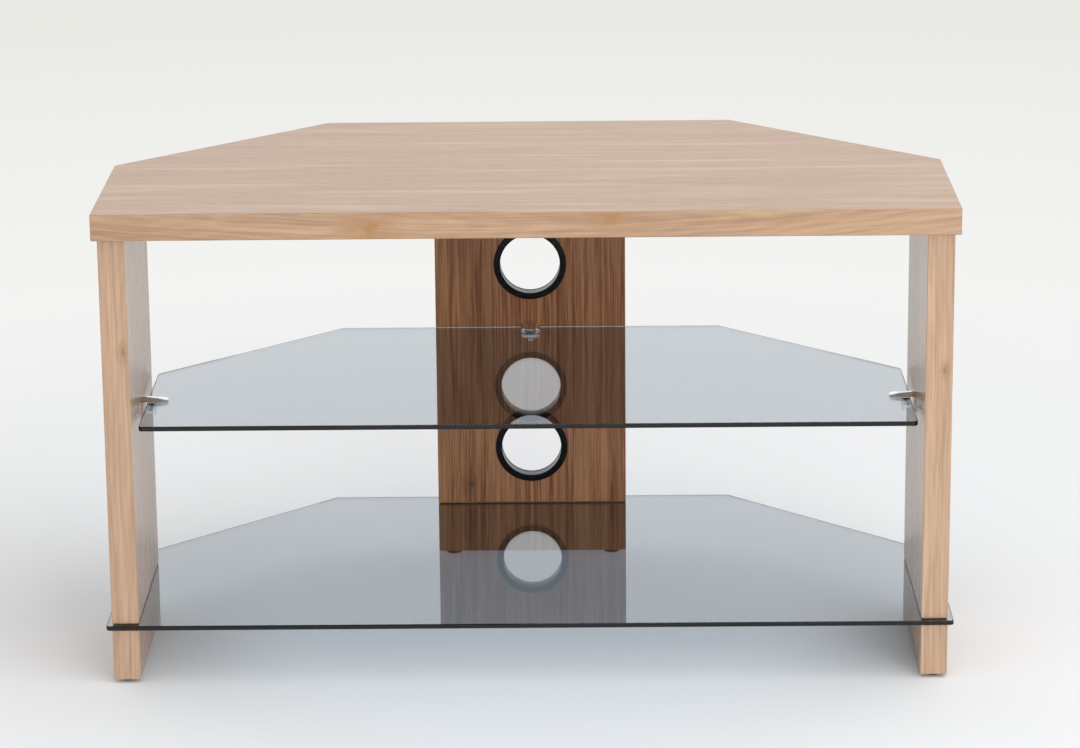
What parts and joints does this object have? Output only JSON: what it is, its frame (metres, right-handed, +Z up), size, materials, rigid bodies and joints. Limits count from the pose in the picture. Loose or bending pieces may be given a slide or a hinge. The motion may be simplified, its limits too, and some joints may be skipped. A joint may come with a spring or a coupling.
{
  "type": "corner tv cabinet",
  "caption": "Open corner TV stand: angled oak top on side legs and a back column with cable rings, tinted glass shelves held by chrome clips.",
  "frame": {"origin": "middle of the footprint on the floor, under the mirror plane of the stand", "axes": "+Z up, +X to the right seen from the front, the front edge faces -Y and the corner of the room is at +Y"},
  "size_m": [1.05, 0.535, 0.6],
  "materials": {
    "oak": "satin clear lacquer on oak veneer",
    "dark_oak": "satin brown stained oak veneer",
    "tinted_glass": "grey tinted safety glass with polished edges",
    "ring_black": "black moulded plastic",
    "chrome": "polished chrome plate",
    "soft_black": "thin soft gasket",
    "foot_black": "black plastic glide",
    "nylon": "natural nylon",
    "beech": "bare beech dowel",
    "steel": "zinc plated steel"
  },
  "bodies": {
    "root": {"back_clip_body": "chrome", "back_clip_clamp_pad": "soft_black", "back_clip_clamp_screw": "chrome", "back_clip_fixing_screw": "steel", "back_clip_jaw_pad": "soft_black", "back_column": "dark_oak", "bolt_inserts": "steel", "bottom_shelf": "tinted_glass", "cam_bolts": "steel", "cam_covers": "oak", "cam_locks": "steel", "column_clamp_bolts": "steel", "column_left_foot": "foot_black", "column_lower_block": "dark_oak", "column_lower_gasket": "soft_black", "column_right_foot": "foot_black", "column_upper_gasket": "soft_black", "foot_pins": "steel", "glass_bushes": "nylon", "left_clamp_bolts": "steel", "left_clip_body": "chrome", "left_clip_clamp_pad": "soft_black", "left_clip_clamp_screw": "chrome", "left_clip_fixing_screw": "steel", "left_clip_jaw_pad": "soft_black", "left_front_foot": "foot_black", "left_lower_block": "oak", "left_lower_gasket": "soft_black", "left_rear_foot": "foot_black", "left_side_panel": "oak", "left_upper_gasket": "soft_black", "lower_cable_ring": "ring_black", "middle_shelf": "tinted_glass", "right_clamp_bolts": "steel", "right_clip_body": "chrome", "right_clip_clamp_pad": "soft_black", "right_clip_clamp_screw": "chrome", "right_clip_fixing_screw": "steel", "right_clip_jaw_pad": "soft_black", "right_front_foot": "foot_black", "right_lower_block": "oak", "right_lower_gasket": "soft_black", "right_rear_foot": "foot_black", "right_side_panel": "oak", "right_upper_gasket": "soft_black", "top_dowels": "beech", "top_panel": "oak", "upper_cable_ring": "ring_black"}
  },
  "joints": []
}
